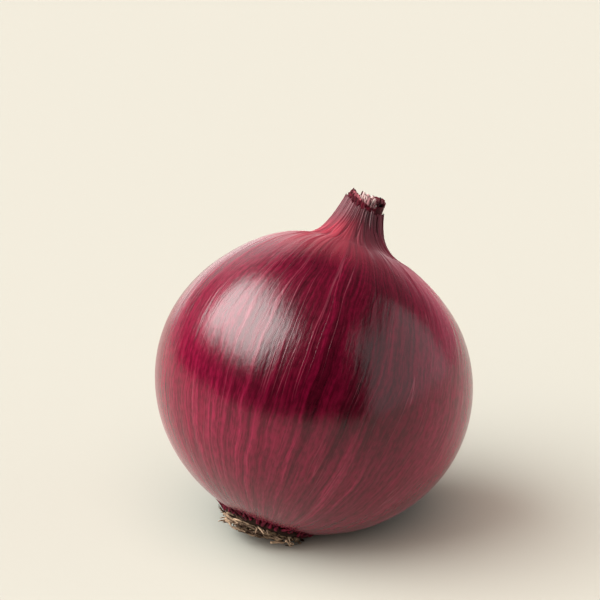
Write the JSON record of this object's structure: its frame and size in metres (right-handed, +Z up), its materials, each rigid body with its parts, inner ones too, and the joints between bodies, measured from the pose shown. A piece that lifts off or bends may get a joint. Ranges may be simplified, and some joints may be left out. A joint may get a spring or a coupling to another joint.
{
  "type": "red onion",
  "caption": "Whole round red onion with a short dried neck and a trimmed root tuft, leaning on a small flat spot.",
  "frame": {"origin": "centre of the small flat spot the onion rests on, on the surface that it stands on", "axes": "+Z up; the bulb axis leans 26.6 degrees from +Z towards +X, so the neck points up and towards +X and the root tuft looks down and towards -X"},
  "size_m": [0.0789, 0.08, 0.0842],
  "materials": {
    "skin": "thin dry papery skin, smooth and satin-glossy, deep red-purple with fine lighter crimson veins running from neck to root",
    "dry_leaf": "dry packed leaf bases, matt and fibrous, pale pinkish grey with dark torn edges",
    "dry_root": "dry fibrous trimmed roots, matt, straw to dark brown"
  },
  "bodies": {
    "root": {"bulb": "skin", "leaf_stump": "dry_leaf", "root_tuft": "dry_root"}
  },
  "joints": []
}
